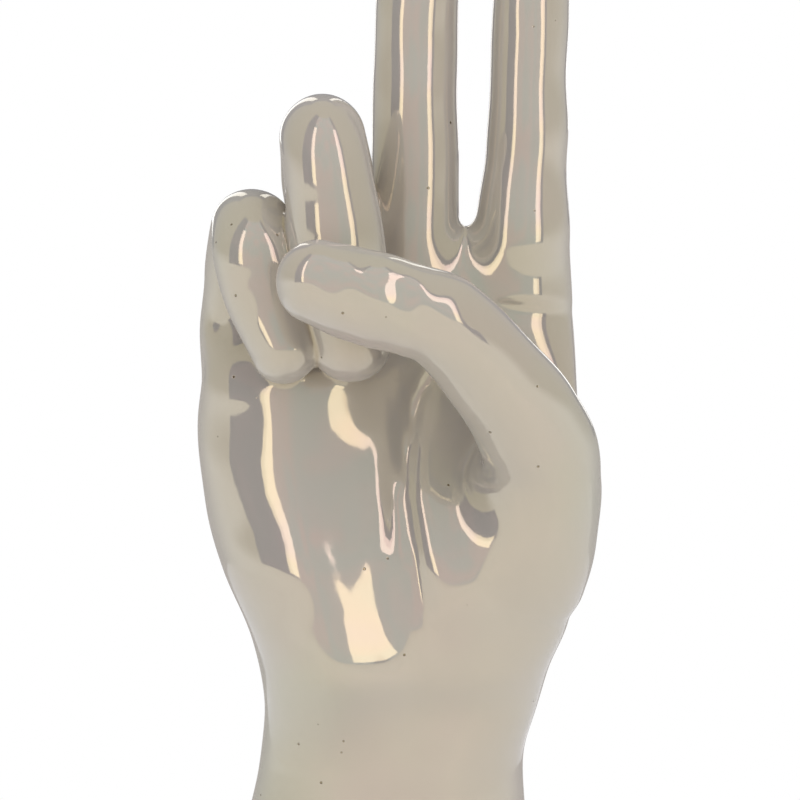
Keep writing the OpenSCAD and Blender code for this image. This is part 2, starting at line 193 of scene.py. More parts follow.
thumb_stations = [
    (thumb_x - 2.0, thumb_y + 32.5, PALM_TOP - 79.5, thumb_deep + 1.5, THUMB_R),
    (thumb_x, thumb_y + 25.5, PALM_TOP - 67.5, thumb_deep + 3.5, THUMB_R + 1.6),
    (thumb_x + 2.0, thumb_y + 18.5, PALM_TOP - 52.5, thumb_deep + 2.2, THUMB_R + 1.8),
    (thumb_x - 2.0, thumb_y + 11.5, PALM_TOP - 41.7, thumb_deep + 1.2, THUMB_R + 0.9),
    (thumb_x - 10, thumb_y + 5.5, PALM_TOP - 30.9, thumb_deep + 0.4, THUMB_R - 0.1),
    (ring_x + 25.2, thumb_y, PALM_TOP - 20.3, thumb_deep, THUMB_R - 0.7),
    (ring_x + 17.2, thumb_y - 1.8, PALM_TOP - 17.1, thumb_deep - 0.3, THUMB_R - 1.2),
    (ring_x + 9.9, thumb_y - 2.4, PALM_TOP - 14.9, thumb_deep - 0.1, THUMB_R - 0.9),
    (ring_x + 2.0, thumb_y - 2.5, PALM_TOP - 12.5, thumb_deep - 0.2, THUMB_R - 1.1),
    (ring_x - 4.7, thumb_y - 2.3, PALM_TOP - 10.3, thumb_deep - 0.9, THUMB_R - 2.0)]
for name, stations in (("index", index_stations), ("middle", middle_stations), ("ring", ring_stations),
                       ("little", little_stations), ("thumb", thumb_stations)):
    print(f"{name}: {len(stations)} stations")

# %% [markdown]
# ## A digit's form
# In the workshop a digit's form is one smooth bar. A swept curve would keep one round section,
# but a finger is wider than it is deep and swells at its joints. So circles are created square
# to the digit's path, each stretched to the half width and half depth there, and neighbouring
# circles are bridged. Smaller and smaller circles close the fingertip.

# %% Build one digit's form


def along(stations, u):
    """The station at u, on a smooth curve that passes through all of them."""
    i = min(max(int(u), 0), len(stations) - 2)
    t = u - i
    a = np.array(stations[max(i - 1, 0)], float)
    b = np.array(stations[i], float)
    c = np.array(stations[i + 1], float)
    d = np.array(stations[min(i + 2, len(stations) - 1)], float)
    return 0.5 * (2 * b + (c - a) * t + (2 * a - 5 * b + 4 * c - d) * t * t
                  + (3 * b - a - 3 * c + d) * t ** 3)


def heading(stations, u):
    return Vector(along(stations, u + 0.02)[:3] - along(stations, u - 0.02)[:3]).normalized()


def add_ring(form, centre, way, hinge, wide, deep, closed=False):
    """One ellipse of the form: its depth lies across the hinge, its width along it."""
    depth_way = way.cross(hinge).normalized()
    side_way = depth_way.cross(way)
    place = Matrix((side_way * wide, depth_way * deep, way)).transposed().to_4x4()
    place.translation = centre
    made = bmesh.ops.create_circle(form, cap_ends=closed, segments=RING_CORNERS, radius=1, matrix=place)
    return made["verts"]


def join_rings(form, rings):
    for low, high in zip(rings, rings[1:]):
        edges = {edge for vert in low + high for edge in vert.link_edges
                 if len(edge.link_faces) < 2 and edge.other_vert(vert) in (low + high)}
        members = [set(low), set(high)]
        edges = [e for e in edges if any(e.verts[0] in m and e.verts[1] in m for m in members)]
        bmesh.ops.bridge_loops(form, edges=edges)
    bmesh.ops.recalc_face_normals(form, faces=form.faces)


RING_CORNERS = 64
CAP_TURN = 86


def digit_form(stations, hinge, tip, steps=12, cap_steps=14):
    form = bmesh.new()
    hinge = Vector(hinge)
    last = len(stations) - 1
    rings = []
    for k in range(last * steps):
        s = along(stations, k / steps)
        way = heading(stations, max(k / steps, 0.02))
        rings.append(add_ring(form, Vector(s[:3]), way, hinge, s[3], s[4], closed=k == 0))
    end = stations[last]
    way = heading(stations, last - 0.02)
    for k in range(cap_steps + 1):
        turn = math.radians(CAP_TURN * k / cap_steps)
        centre = Vector(end[:3]) + way * tip * math.sin(turn)
        rings.append(add_ring(form, centre, way, hinge, end[3] * math.cos(turn),
                              end[4] * math.cos(turn), closed=k == cap_steps))
    join_rings(form, rings)
    return form


SIDEWAYS = (1, 0, 0)
FORWARDS = (0, 1, 0)
forms = {
    "index_finger": digit_form(index_stations, SIDEWAYS, tip=INDEX_TIP),
    "middle_finger": digit_form(middle_stations, SIDEWAYS, tip=MIDDLE_TIP),
    "ring_finger": digit_form(ring_stations, SIDEWAYS, tip=8.6),
    "little_finger": digit_form(little_stations, SIDEWAYS, tip=7.4),
    "thumb": digit_form(thumb_stations, FORWARDS, tip=9.6)}
for name, form in forms.items():
    print(f"{name}: {len(form.faces)} faces, {form.calc_volume() / 1000:.1f} cm3")

# %% [markdown]
# ## The palm and wrist
# The palm is a row of rings too, but they are squarer than an ellipse and lie level. The front
# swells at the ball of the thumb, along the heel of the hand and in four shallow mounds, with the
# long crease between them, and the back has its four knuckles.

# %% Palm rows: height, left, right, front, back, squareness, rise to the right
palm_rows = [
    (-9, -FOOT_W / 2 - 1.2, FOOT_W / 2 + 1.2, -FOOT_D / 2 - 0.6, FOOT_D / 2 + 0.4, FOOT_SQUARE, 0),
    (PAD_T, -FOOT_W / 2, FOOT_W / 2, -FOOT_D / 2, FOOT_D / 2, FOOT_SQUARE, 0),
    (PAD_T + 10.5, 1.5 - FOOT_W / 2, FOOT_W / 2 - 1.6, 1.4 - FOOT_D / 2, FOOT_D / 2 - 0.5, FOOT_SQUARE, 0),
    (WRIST_H / 2, -WRIST_W / 2 - 3, WRIST_W / 2 + 2.4, -WRIST_D / 2 + 0.3, WRIST_D / 2 + 2, 2.2, 0),
    (WRIST_H - 12, 0.2 - WRIST_W / 2, WRIST_W / 2 + 1.5, -WRIST_D / 2 - 0.1, WRIST_D / 2 + 0.8, 2.2, 0),
    (WRIST_H, 1.1 - WRIST_W / 2, WRIST_W / 2 + 4.4, -WRIST_D / 2, WRIST_D / 2 - 0.5, 2.4, 0),
    (WRIST_H + 10, 0.3 - WRIST_W / 2, WRIST_W / 2 + 7.5, -WRIST_D / 2 - 3.1, WRIST_D / 2 - 1.8, 2.6, 0),
    (PALM_TOP - 89.5, 11.1 - half_w, half_w - 2.5, -front - 8.2, front + 3, 2.8, 0),
    (PALM_TOP - 77.5, 5.8 - half_w, half_w - 0.4, -front - 6.3, front + 2, 2.9, 0),
    (PALM_TOP - 65.5, 2.6 - half_w, half_w + 1.4, -front - 3, front + 1.2, 2.6, 0.02),
    (PALM_TOP - 51.5, 0.6 - half_w, half_w + 0.8, 0.2 - front, front + 0.7, 2.5, 0.04),
    (PALM_TOP - 37.5, -half_w, half_w - 0.4, 2.5 - front, front + 0.3, 2.5, 0.07),
    (PALM_TOP - 23.5, 1.8 - half_w, half_w - 1, 3 - front, front - 0.2, 2.8, 0.11),
    (PALM_TOP - 13.5, 2.6 - half_w, half_w - 2.8, 6 - front, front - 1, 2.8, 0.14),
    (PALM_TOP - 6.5, 4.8 - half_w, half_w - 5.5, 9 - front, front - 2.5, 2.7, 0.16),
    (PALM_TOP - 2, 8 - half_w, half_w - 9, 12 - front, front - 5, 2.5, 0.17),
    (PALM_TOP, 12.5 - half_w, half_w - 13.5, 14.5 - front, front - 8.5, 2.3, 0.17)]

THENAR_H = 8
HEEL_H = 10
CREASE_H = 3
thenar = (half_w - 24, PALM_TOP - 77.5)
THENAR_TURN = math.radians(41)
# x, height, how far it stands out, half width and half height of each mound
mounds = [(-8, PALM_TOP - 32.5, 2.2, 14, 13), (-22, PALM_TOP - 39.5, 1.5, 12, 14),
          (-6, PALM_TOP - 68.5, 0.5, 4, 14), (4, PALM_TOP - 97.5, 0.8, 9, 9)]
# x, height, how far it stands out and half width of each knuckle
knuckles = [(little_x, PALM_TOP - 28.5, 2.2, 6.5), (ring_x, PALM_TOP - 18.5, 2.6, 7),
            (middle_x + 1, PALM_TOP - 14.5, 3, 7.5), (index_x - 2, PALM_TOP - 16.5, 2.8, 7.5)]
# Height below the palm's top, and x there
crease_line = np.array([(-103.5, 13), (-94.5, 11.5), (-88.5, 9), (-72.5, 4.5), (-60.5, 3),
                        (-48.5, 4), (-37.5, 6), (-23.5, 12)])
heel_line = np.array([(-103.5, 31 - half_w), (-93.5, 28.5 - half_w), (-73.5, 24.5 - half_w),
                      (-51.5, 19.5 - half_w), (-37.5, 17.5 - half_w)])
# Height below the palm's top, and how steeply the heel falls into the hollow there
heel_slopes = np.array([(-88.5, 0.56), (-66.5, 0.52), (-45.5, 0.44)])
print(f"{len(palm_rows)} rows, {len(mounds)} mounds, {len(knuckles)} knuckles")

# %% [markdown]
# How far the front and back stand out is worked out point by point: soft bells for the balls of
# the hand, and a narrow one, turned inwards, for the crease.

# %% Swell of the palm


def heel_swell(x, up):
    """Flat on the outer side, and from its ridge an even slope down into the hollow of the palm."""
    out = x - np.interp(up, *heel_line.T)
    steepness = np.interp(up, *heel_slopes.T)
    high = HEEL_H - steepness * (math.sqrt(max(out, 0) ** 2 + 6) - math.sqrt(6))
    high = (high + math.sqrt(high ** 2 + 4)) / 2 * bell(min(out, 0), 30)
    return high * ramp(up, -125.5, -103.5) * (1 - ramp(up, -37.5, -13.5))


def front_swell(x, z):
    up = z - PALM_TOP
    side = x - thenar[0]
    rise = z - thenar[1]
    ridge = side * math.cos(THENAR_TURN) + rise * math.sin(THENAR_TURN)
    off = rise * math.cos(THENAR_TURN) - side * math.sin(THENAR_TURN)
    ball = THENAR_H * bell(ridge, 18) * bell(off, 13 if off < 0 else 30)
    crease = CREASE_H * bell(x - np.interp(up, *crease_line.T), 2.6)
    crease *= ramp(up, -101.5, -65.5) * (1 - ramp(up, -41.5, -21.5))
    raised = sum(high * bell(x - mx, wide) * bell(z - mz, tall) for mx, mz, high, wide, tall in mounds)
    return ball + heel_swell(x, up) + raised - crease


def back_swell(x, z):
    return sum(high * bell(x - kx, wide) * bell(z - kz, wide * 1.2) for kx, kz, high, wide in knuckles)


CURL_WIDTH = 27


def curl(x, z):
    """The thumb side of the palm comes forwards, and the outer side a little."""
    up = z - PALM_TOP
    low = ramp(up, -101.5, -73.5) * (1 - ramp(up, -45.5, -17.5))
    high = ramp(up, -88.5, -58.5) * (1 - ramp(up, -28.5, -8.5))
    thumb_side = max(x - half_w + CURL_WIDTH, 0)
    outer_side = max(-x - half_w + CURL_WIDTH, 0)
    return -0.014 * thumb_side ** 2 * low - 0.006 * outer_side ** 2 * high


def signed_power(value, power):
    return math.copysign(abs(value) ** power, value)


PALM_CORNERS = 180


def palm_form(steps=10):
    form = bmesh.new()
    last = len(palm_rows) - 1
    rings = []
    for k in range(last * steps + 1):
        height, left, right, low_y, high_y, square, rise = along(palm_rows, k / steps)
        ends = k == 0 or k == last * steps
        ring = bmesh.ops.create_circle(form, cap_ends=ends, segments=PALM_CORNERS, radius=1)["verts"]
        for vert in ring:
            x = (left + right) / 2 + (right - left) / 2 * signed_power(vert.co.x, 2 / square)
            part = signed_power(vert.co.y, 2 / square)
            z = height + rise * x
            swell = -front_swell(x, z) if part < 0 else back_swell(x, z)
            y = (low_y + high_y) / 2 + (high_y - low_y) / 2 * part
            vert.co = (x, y + swell * abs(part) ** 0.7 + curl(x, z), z)
        rings.append(ring)
    join_rings(form, rings)
    return form


forms["hand_body"] = palm_form()
print(f"palm: {len(forms['hand_body'].faces)} faces")

# %% [markdown]
# ## From six forms to one poured skin
# Slip and glaze round off every inner corner, and no boolean or bevel gives that soft fillet
# where a finger grows out of a palm. So the forms are turned into distance fields: a block of
# small cells, each holding how far it is from the form's surface, below zero inside. Two fields
# blend by a smooth minimum, whose reach is the fillet's size: wide where a digit grows out of
# the palm, and about a glaze coat's thickness where it only rests against its neighbour.

# %% Distance fields
CELL = 0.75
FIELD_LOW = (-70, -80, -12)
FIELD_COUNT = (146, 124, 352)
BAND_CELLS = 14
field_frame = openvdb.createLinearTransform(voxelSize=CELL)
axis_x, axis_y, axis_z = (
    ((np.arange(count, dtype=np.float32) + low) * CELL).reshape([-1 if i == axis else 1 for i in range(3)])
    for axis, (low, count) in enumerate(zip(FIELD_LOW, FIELD_COUNT)))
print(f"a block of {' by '.join(str(count) for count in FIELD_COUNT)} cells of {CELL} mm")


def distance_field(form):
    """Distances from a closed form, in millimetres, sampled in every cell of the block."""
    shell = form.copy()
    bmesh.ops.triangulate(shell, faces=shell.faces)
    shell.verts.index_update()
    points = np.array([v.co for v in shell.verts], np.float32)
    triangles = np.array([[v.index for v in f.verts] for f in shell.faces], np.uint32)
    shell.free()
    grid = openvdb.FloatGrid.createLevelSetFromPolygons(
        points, triangles=triangles, transform=field_frame, halfWidth=float(BAND_CELLS))
    block = np.empty(FIELD_COUNT, np.float32)
    grid.copyToArray(block, ijk=FIELD_LOW)
    return block


fields = {name: distance_field(form) for name, form in forms.items()}
for name, field in fields.items():
    forms[name].free()
    print(f"{name}: {(field < 0).sum() * CELL ** 3 / 1000:.1f} cm3 inside")

# %% [markdown]
# A digit's fillet fades from its root outwards. Each seat below names the digit, the middle of
# its root, the fillet there, how far the wide fillet reaches, and the fillet elsewhere.

# %% Fuse the forms
seats = [
    ("thumb", (34, -14, 96), 11, (16, 36), 1.6),
    ("index_finger", (31, 0, 156), 5, (10, 24), 1.6),
    ("middle_finger", (6, 1, 158), 6, (8, 20), 1.4),
    ("ring_finger", (-11, 0, 152), 6, (8, 22), 1.4),
    ("little_finger", (-41, -9, 143), 8, (10, 24), 1.4)]


def smooth_least(a, b, reach):
    share = np.clip(0.5 + 0.5 * (b - a) / reach, 0, 1)
    return b + (a - b) * share - reach * share * (1 - share)


def soften(block):
    for axis in range(3):
        low = np.roll(block, 1, axis)
        high = np.roll(block, -1, axis)
        block = (low + 2 * block + high) / 4
    return block


PALM_FILLET = 1.5
fused = fields["hand_body"]
fillets = np.full(FIELD_COUNT, PALM_FILLET, np.float32)
for name, root, root_fillet, (near, far), touch_fillet in seats:
    away = np.sqrt((axis_x - root[0]) ** 2 + (axis_y - root[1]) ** 2 + (axis_z - root[2]) ** 2)
    reach = touch_fillet + (root_fillet - touch_fillet) * (1 - ramp(away, near, far))
    fused = smooth_least(fused, fields[name], reach)
    fillets = np.maximum(fillets, reach)
fused = soften(fused)
print(f"fused hand: {(fused < 0).sum() * CELL ** 3 / 1000:.0f} cm3, fillets up to {fillets.max():.0f} mm")

# %% [markdown]
# A casting is never quite true: the strip lamps wander on it. A few slow waves, under a tenth of
# a millimetre high each, are added to the field before the skin is taken off it. The thumb shows
# stronger lumps, and beside the little finger there is one small dimple.

# %% Slow waves of the casting
WAVE_H = 0.07
LUMP_H = 0.48
DIMPLE_DEPTH = 0.9
waves = [(0.21, 0.05, 0.11, 0.3), (-0.07, 0.16, 0.19, 1.9), (0.13, -0.12, 0.27, 4.1),
         (0.05, 0.2, -0.33, 2.6)]


def cloud(centre, widths):
    """1 at the centre and soft all round, so wide along each axis as widths says."""
    x, y, z = [((axis - middle) / wide) ** 2
               for axis, middle, wide in zip((axis_x, axis_y, axis_z), centre, widths)]
    return np.exp(-x - y - z)


for wx, wy, wz, start in waves:
    fused += WAVE_H * np.sin(wx * axis_x + wy * axis_y + wz * axis_z + start)
lumps = np.sin(0.57 * axis_x + 0.16 * axis_z + 0.9) * np.cos(0.3 * axis_z - 0.09 * axis_x - 44.7)
fused += LUMP_H * cloud((1, -56, 150), (22, 12, 11)) * lumps
fused += DIMPLE_DEPTH * cloud((-39.5, -8, 142.5), (2.2, 8, 3))
print(f"{len(waves)} waves of {WAVE_H} mm, lumps of {LUMP_H} mm, a dimple {DIMPLE_DEPTH} mm deep")

# %% [markdown]
# ## The skin
# The surface where the field is zero becomes a mesh of small even quads. They lie within a cell
# of that surface, so every corner is then moved onto it along the field's slope, and the slope is
# kept as the corner's normal. A mirror-bright glaze shows the least unevenness in a normal.
# The quads are a little larger than the field's cells, which keeps the palm's mesh light.

# %% Take the skin off the field


def sample(block, points):
    """Values of a block between its cells, at points in millimetres."""
    place = points / CELL - np.array(FIELD_LOW)
    cell = np.clip(place.astype(int), 0, np.array(FIELD_COUNT) - 2)
    part = (place - cell).astype(np.float32)
    total = 0
    for corner in np.ndindex(2, 2, 2):
        weight = np.prod([part[:, a] if c else 1 - part[:, a] for a, c in enumerate(corner)], axis=0)
        total = total + weight * block[tuple(cell[:, a] + c for a, c in enumerate(corner))]
    return total


def slope_at(slopes, points):
    way = np.stack([sample(s, points) for s in slopes], axis=1)
    return way / np.linalg.norm(way, axis=1, keepdims=True)


SKIN_CELL = 0.94
skin_low = np.ceil(np.array(FIELD_LOW) * CELL / SKIN_CELL).astype(int).tolist()
skin_high = np.floor((np.array(FIELD_LOW) + FIELD_COUNT - 1) * CELL / SKIN_CELL).astype(int).tolist()
lines = [np.arange(low, high + 1) * SKIN_CELL for low, high in zip(skin_low, skin_high)]
slabs = np.stack(np.meshgrid(*lines, indexing="ij"), axis=-1)
larger = np.stack([sample(fused, slab.reshape(-1, 3)).reshape(slab.shape[:2]) for slab in slabs])
grid = openvdb.FloatGrid(background=float(CELL * BAND_CELLS))
grid.transform = openvdb.createLinearTransform(voxelSize=SKIN_CELL)
grid.gridClass = openvdb.GridClass.LEVEL_SET
grid.copyFromArray(larger.astype(np.float32), ijk=tuple(skin_low))
skin_points, skin_quads = grid.convertToQuads(isovalue=0.0)
skin_points = skin_points.astype(float)
slopes = [soften(s) for s in np.gradient(fused, CELL)]
for _ in range(3):
    skin_points -= slope_at(slopes, skin_points) * sample(fused, skin_points)[:, None]
skin_normals = slope_at(slopes, skin_points)
print("skin quads:", len(skin_quads))

# %% [markdown]
# ## Which casting each patch belongs to
# A patch belongs to the form whose surface is nearest. Next to a touching neighbour each corner
# also gets a value for how deep in such a seam it lies, which paints shade into the glaze there.

# %% Mark castings and seams
names = list(fields)
near = np.stack([sample(fields[n], skin_points) for n in names])
face_points = skin_points[skin_quads].mean(axis=1)
face_near = np.stack([sample(fields[n], face_points) for n in names])
face_casting = face_near.argmin(axis=0)
two_nearest = np.sort(near, axis=0)[:2]
SEAM_WIDTH = 1.4
# Painted shade: how deep a corner lies in a seam between touching castings, which darkens the glaze there.
shade_in_seam = np.exp(-(two_nearest[1] - two_nearest[0]) / SEAM_WIDTH)
shade_in_seam *= 1 - ramp(sample(fillets, skin_points), 1.7, 5)

skin = bpy.data.meshes.new("skin")
skin.from_pydata(skin_points.tolist(), [], skin_quads[:, ::-1].tolist())
skin.attributes.new("casting", "INT", "FACE").data.foreach_set("value", face_casting.astype(np.int32))
skin.attributes.new("painted_seam_shade", "FLOAT", "POINT").data.foreach_set("value", shade_in_seam.astype(np.float32))
for kept in ("gloss_way", "poured_at"):
    value = skin_normals if kept == "gloss_way" else skin_points
    skin.attributes.new(kept, "FLOAT_VECTOR", "POINT").data.foreach_set(
        "vector", value.astype(np.float32).ravel())
for number, name in enumerate(names):
    print(f"{name}: {(face_casting == number).sum()} quads")

# %% [markdown]
# ## Trim the foot and drop what is sealed inside
# The field ran on below the foot, so a straight cut at the height of the pad gives the foot its
# crisp edge. Pockets shut in between the folded fingers are loose shells, and only the largest
# connected shell is kept.

# %% Trim
whole = bmesh.new()
whole.from_mesh(skin)
bmesh.ops.bisect_plane(whole, geom=whole.verts[:] + whole.edges[:] + whole.faces[:], dist=1e-4,
                       plane_co=(0, 0, PAD_T), plane_no=(0, 0, -1), clear_outer=True)
left_over = set(whole.verts)
shells = []
while left_over:
    start = left_over.pop()
    shell = {start}
    waiting = [start]
    while waiting:
        for edge in waiting.pop().link_edges:
            for vert in edge.verts:
                if vert not in shell:
                    shell.add(vert)
                    waiting.append(vert)
    left_over -= shell
    shells.append(shell)
shells.sort(key=len)
sealed = [vert for shell in shells[:-1] for vert in shell]
bmesh.ops.delete(whole, geom=sealed, context="VERTS")
print("loose shells dropped:", len(shells) - 1)

# %% [markdown]
# ## One closed shell per casting
# Each casting is a wall of fired clay. Its patches are kept, the rest of the skin is deleted, and
# solidify thickens them inwards, which also closes the wall along every seam. The kept slopes
# become the outer corners' normals, so the glaze runs over the seams without a line. Corners just
# above the straight cut are brought down to it, which makes the foot's rim flat.

# %% Make the castings
WALLS = {"hand_body": 4.5, "thumb": 3.5}
FINGER_WALL = 3
RIM_REACH = 0.6
STILL_OUTSIDE = 0.2


def as_object(form, name):
    """A finished bmesh in millimetres becomes an object in metres that rides on the hand."""
    bmesh.ops.scale(form, vec=(MM, MM, MM), verts=form.verts)
    mesh = bpy.data.meshes.new(name)
    form.to_mesh(mesh)
    form.free()
    mesh.polygons.foreach_set("use_smooth", [True] * len(mesh.polygons))
    piece = bpy.data.objects.new(name, mesh)
    bpy.context.scene.collection.objects.link(piece)
    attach(piece, "root")
    return piece


def gloss_normals(mesh):
    """Corner normals for the outer faces; a zero leaves a corner to its own face."""
    corners = np.empty(len(mesh.loops), np.int32)
    mesh.loops.foreach_get("vertex_index", corners)
    count = len(mesh.vertices)
    kept = np.empty(count * 3, np.float32)
    mesh.attributes["gloss_way"].data.foreach_get("vector", kept)
    kept = kept.reshape(-1, 3)
    poured = np.empty(count * 3, np.float32)
    mesh.attributes["poured_at"].data.foreach_get("vector", poured)
    place = np.empty(count * 3, np.float32)
    mesh.vertices.foreach_get("co", place)
    moved = np.abs(place.reshape(-1, 3) / MM - poured.reshape(-1, 3)).max(axis=1)
    outer_point = moved < STILL_OUTSIDE
    starts = np.empty(len(mesh.polygons), np.int32)
    mesh.polygons.foreach_get("loop_start", starts)
    outer_face = np.minimum.reduceat(outer_point[corners], starts)
    totals = np.diff(np.append(starts, len(corners)))
    outer_corner = np.repeat(outer_face, totals)
    mesh.normals_split_custom_set(np.where(outer_corner[:, None], kept[corners], 0).tolist())
    for used in ("gloss_way", "poured_at", "casting"):
        mesh.attributes.remove(mesh.attributes[used])
    return int(outer_face.sum())


castings = {}
for number, name in enumerate(names):
    part = whole.copy()
    mark = part.faces.layers.int["casting"]
    others = [face for face in part.faces if face[mark] != number]
    bmesh.ops.delete(part, geom=others, context="FACES")
    bmesh.ops.solidify(part, geom=part.faces[:], thickness=WALLS.get(name, FINGER_WALL))
    for vert in part.verts:
        if vert.co.z < PAD_T + RIM_REACH:
            vert.co.z = PAD_T
    open_edges = sum(len(edge.link_faces) != 2 for edge in part.edges)
    piece = as_object(part, f"glazed_{name}")
    shown = gloss_normals(piece.data)
    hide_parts(name)
    castings[name] = piece
    print(f"{piece.name}: {len(piece.data.polygons)} faces, {shown} glazed, open edges {open_edges}")
whole.free()

# %% [markdown]
# ## Shared colour and grain
# Glaze, bare clay and rubber all carry soft patches of colour and fine grain, only at other sizes
# and strengths. One node group gives both, with named inputs.

# %% Mottle group


def group_socket(group, name, kind, way, default=None):
    made = group.interface.new_socket(name=name, in_out=way, socket_type=kind)
    if default is not None:
        made.default_value = default


mottle = bpy.data.node_groups.new("mottle", "ShaderNodeTree")
group_socket(mottle, "Patch Scale", "NodeSocketFloat", "INPUT", 40)
group_socket(mottle, "Grain Scale", "NodeSocketFloat", "INPUT", 900)
group_socket(mottle, "Patch", "NodeSocketFloat", "OUTPUT")
group_socket(mottle, "Second Patch", "NodeSocketFloat", "OUTPUT")
group_socket(mottle, "Grain", "NodeSocketFloat", "OUTPUT")


def add_node(tree, kind, **settings):
    node = tree.nodes.new(kind)
    for key, value in settings.items():
        setattr(node, key, value)
    return node


def noise(tree, place, scale, detail, seed):
    node = add_node(tree, "ShaderNodeTexNoise", noise_dimensions="4D")
    node.inputs["W"].default_value = seed
    node.inputs["Detail"].default_value = detail
    tree.links.new(place, node.inputs["Vector"])
    if isinstance(scale, (int, float)):
        node.inputs["Scale"].default_value = scale
    else:
        tree.links.new(scale, node.inputs["Scale"])
    return node.outputs["Fac"]


inner = add_node(mottle, "NodeGroupInput")
outer = add_node(mottle, "NodeGroupOutput")
where = add_node(mottle, "ShaderNodeTexCoord").outputs["Object"]
mottle.links.new(noise(mottle, where, inner.outputs["Patch Scale"], 2, 1.5), outer.inputs["Patch"])
mottle.links.new(noise(mottle, where, inner.outputs["Patch Scale"], 2, 7.5), outer.inputs["Second Patch"])
mottle.links.new(noise(mottle, where, inner.outputs["Grain Scale"], 4, 3.1), outer.inputs["Grain"])
print(f"mottle group: {len(mottle.nodes)} nodes")

# %% [markdown]
# ## The pearl glaze
# A lustre glaze is a clear, mirror-smooth coat over a warm greige clay, with a metal film thinner
# than a wavelength of light on top, which tints every reflection. A layered shader could mix a
# second mirror over the clay, but the principled shader already has a thin film on its own
# mirror, so one shader does it. First come four small helpers that keep the node code short.

# %% Shader helpers


def principled(name):
    material = bpy.data.materials.new(name)
    material.use_nodes = True
    tree = material.node_tree
    shader = tree.nodes["Principled BSDF"]
    return material, tree, shader


def mix_colour(tree, share, first, second):
    node = add_node(tree, "ShaderNodeMix", data_type="RGBA")
    for socket, value in ((node.inputs[0], share), (node.inputs[6], first), (node.inputs[7], second)):
        if hasattr(value, "is_linked"):
            tree.links.new(value, socket)
        elif isinstance(value, (tuple, list)):
            socket.default_value = (*value, 1)
        else:
            socket.default_value = value
    return node.outputs[2]


def map_range(tree, value, low, high, to_low=0.0, to_high=1.0):
    node = add_node(tree, "ShaderNodeMapRange", interpolation_type="SMOOTHSTEP")
    tree.links.new(value, node.inputs["Value"])
    node.inputs["From Min"].default_value = low
    node.inputs["From Max"].default_value = high
    node.inputs["To Min"].default_value = to_low
    node.inputs["To Max"].default_value = to_high
    return node.outputs["Result"]


def maths(tree, operation, first, second):
    node = add_node(tree, "ShaderNodeMath", operation=operation)
    for socket, value in zip(node.inputs, (first, second)):
        if hasattr(value, "is_linked"):
            tree.links.new(value, socket)
        else:
            socket.default_value = value
    return node.outputs[0]


print("helpers: principled, mix_colour, map_range, maths")

# %% [markdown]
# The colour under the mirror drifts between rose and green, and painted shade turns it brown in
# the seams between touching castings.

# %% Colour of the body
GREIGE = (0.397, 0.371, 0.340)
ROSE = (0.412, 0.361, 0.345)
SAGE = (0.378, 0.376, 0.325)
# The brown of the painted shade in the seams between touching castings.
SEAM_SHADE = (0.235, 0.185, 0.120)

glaze, tree, shader = principled("pearl_glaze")
patches = add_node(tree, "ShaderNodeGroup", node_tree=mottle)
patches.inputs["Patch Scale"].default_value = 26
patches.inputs["Grain Scale"].default_value = 420
place = add_node(tree, "ShaderNodeTexCoord").outputs["Object"]
height = add_node(tree, "ShaderNodeSeparateXYZ")
tree.links.new(place, height.inputs[0])
painted_seam_shade = add_node(tree, "ShaderNodeAttribute", attribute_name="painted_seam_shade").outputs["Fac"]

body = mix_colour(tree, map_range(tree, patches.outputs["Patch"], 0.45, 0.72, 0, 0.7), GREIGE, ROSE)
body = mix_colour(tree, map_range(tree, patches.outputs["Second Patch"], 0.45, 0.72, 0, 0.8), body, SAGE)
# Painted shade: the glaze turns brown deep in the seams between touching castings.
body = mix_colour(tree, map_range(tree, painted_seam_shade, 0.15, 1.0, 0, 0.75), body, SEAM_SHADE)
print(f"{glaze.name}: {len(tree.nodes)} nodes so far")

# %% [markdown]
# Gas from the clay leaves a few dark pinholes in the glaze. The cells of a Voronoi pattern place
# them: a cell whose random colour is high enough has a hole at its point. Low down the glaze
# stops, because the foot is wiped bare before firing, or it would stick to the kiln's shelf.

# %% Pinholes and the bare foot
SPECK = (0.060, 0.045, 0.035)
BARE_CLAY = (0.680, 0.600, 0.500)
PINHOLE_CELLS = 200
PINHOLE_ABOVE = 0.7
cells = add_node(tree, "ShaderNodeTexVoronoi", feature="F1")
cells.inputs["Scale"].default_value = PINHOLE_CELLS
tree.links.new(place, cells.inputs["Vector"])
rare = add_node(tree, "ShaderNodeSeparateColor")
tree.links.new(cells.outputs["Color"], rare.inputs[0])
chosen = maths(tree, "GREATER_THAN", rare.outputs[0], PINHOLE_ABOVE)
pinhole = maths(tree, "MULTIPLY", map_range(tree, cells.outputs["Distance"], 0.045, 0.09, 1, 0), chosen)
body = mix_colour(tree, pinhole, body, SPECK)

wander = maths(tree, "MULTIPLY", patches.outputs["Patch"], 0.0016)
foot_edge = maths(tree, "ADD", height.outputs["Z"], wander)
bare = map_range(tree, foot_edge, 0.0034, 0.0040, 1, 0)
body = mix_colour(tree, bare, body, BARE_CLAY)
tree.links.new(body, shader.inputs["Base Color"])
print(f"{glaze.name}: {len(tree.nodes)} nodes so far")

# %% [markdown]
# The mirror itself is nearly smooth. The film is 84 nm thick with an index of 2.05, which
# reflects red and green more than blue, as the straw-coloured strips in the photograph show. A
# weak bump gives the slow ripple of poured glaze and sinks the pinholes.

# %% Gloss, film and ripple
FILM_NM = 84
FILM_INDEX = 2.05
gloss = map_range(tree, patches.outputs["Grain"], 0.3, 0.7, 0.035, 0.075)
matt_foot = maths(tree, "MULTIPLY", bare, 0.85)
tree.links.new(maths(tree, "MAXIMUM", gloss, matt_foot), shader.inputs["Roughness"])
shader.inputs["IOR"].default_value = 1.5
shader.inputs["Thin Film Thickness"].default_value = FILM_NM
shader.inputs["Thin Film IOR"].default_value = FILM_INDEX

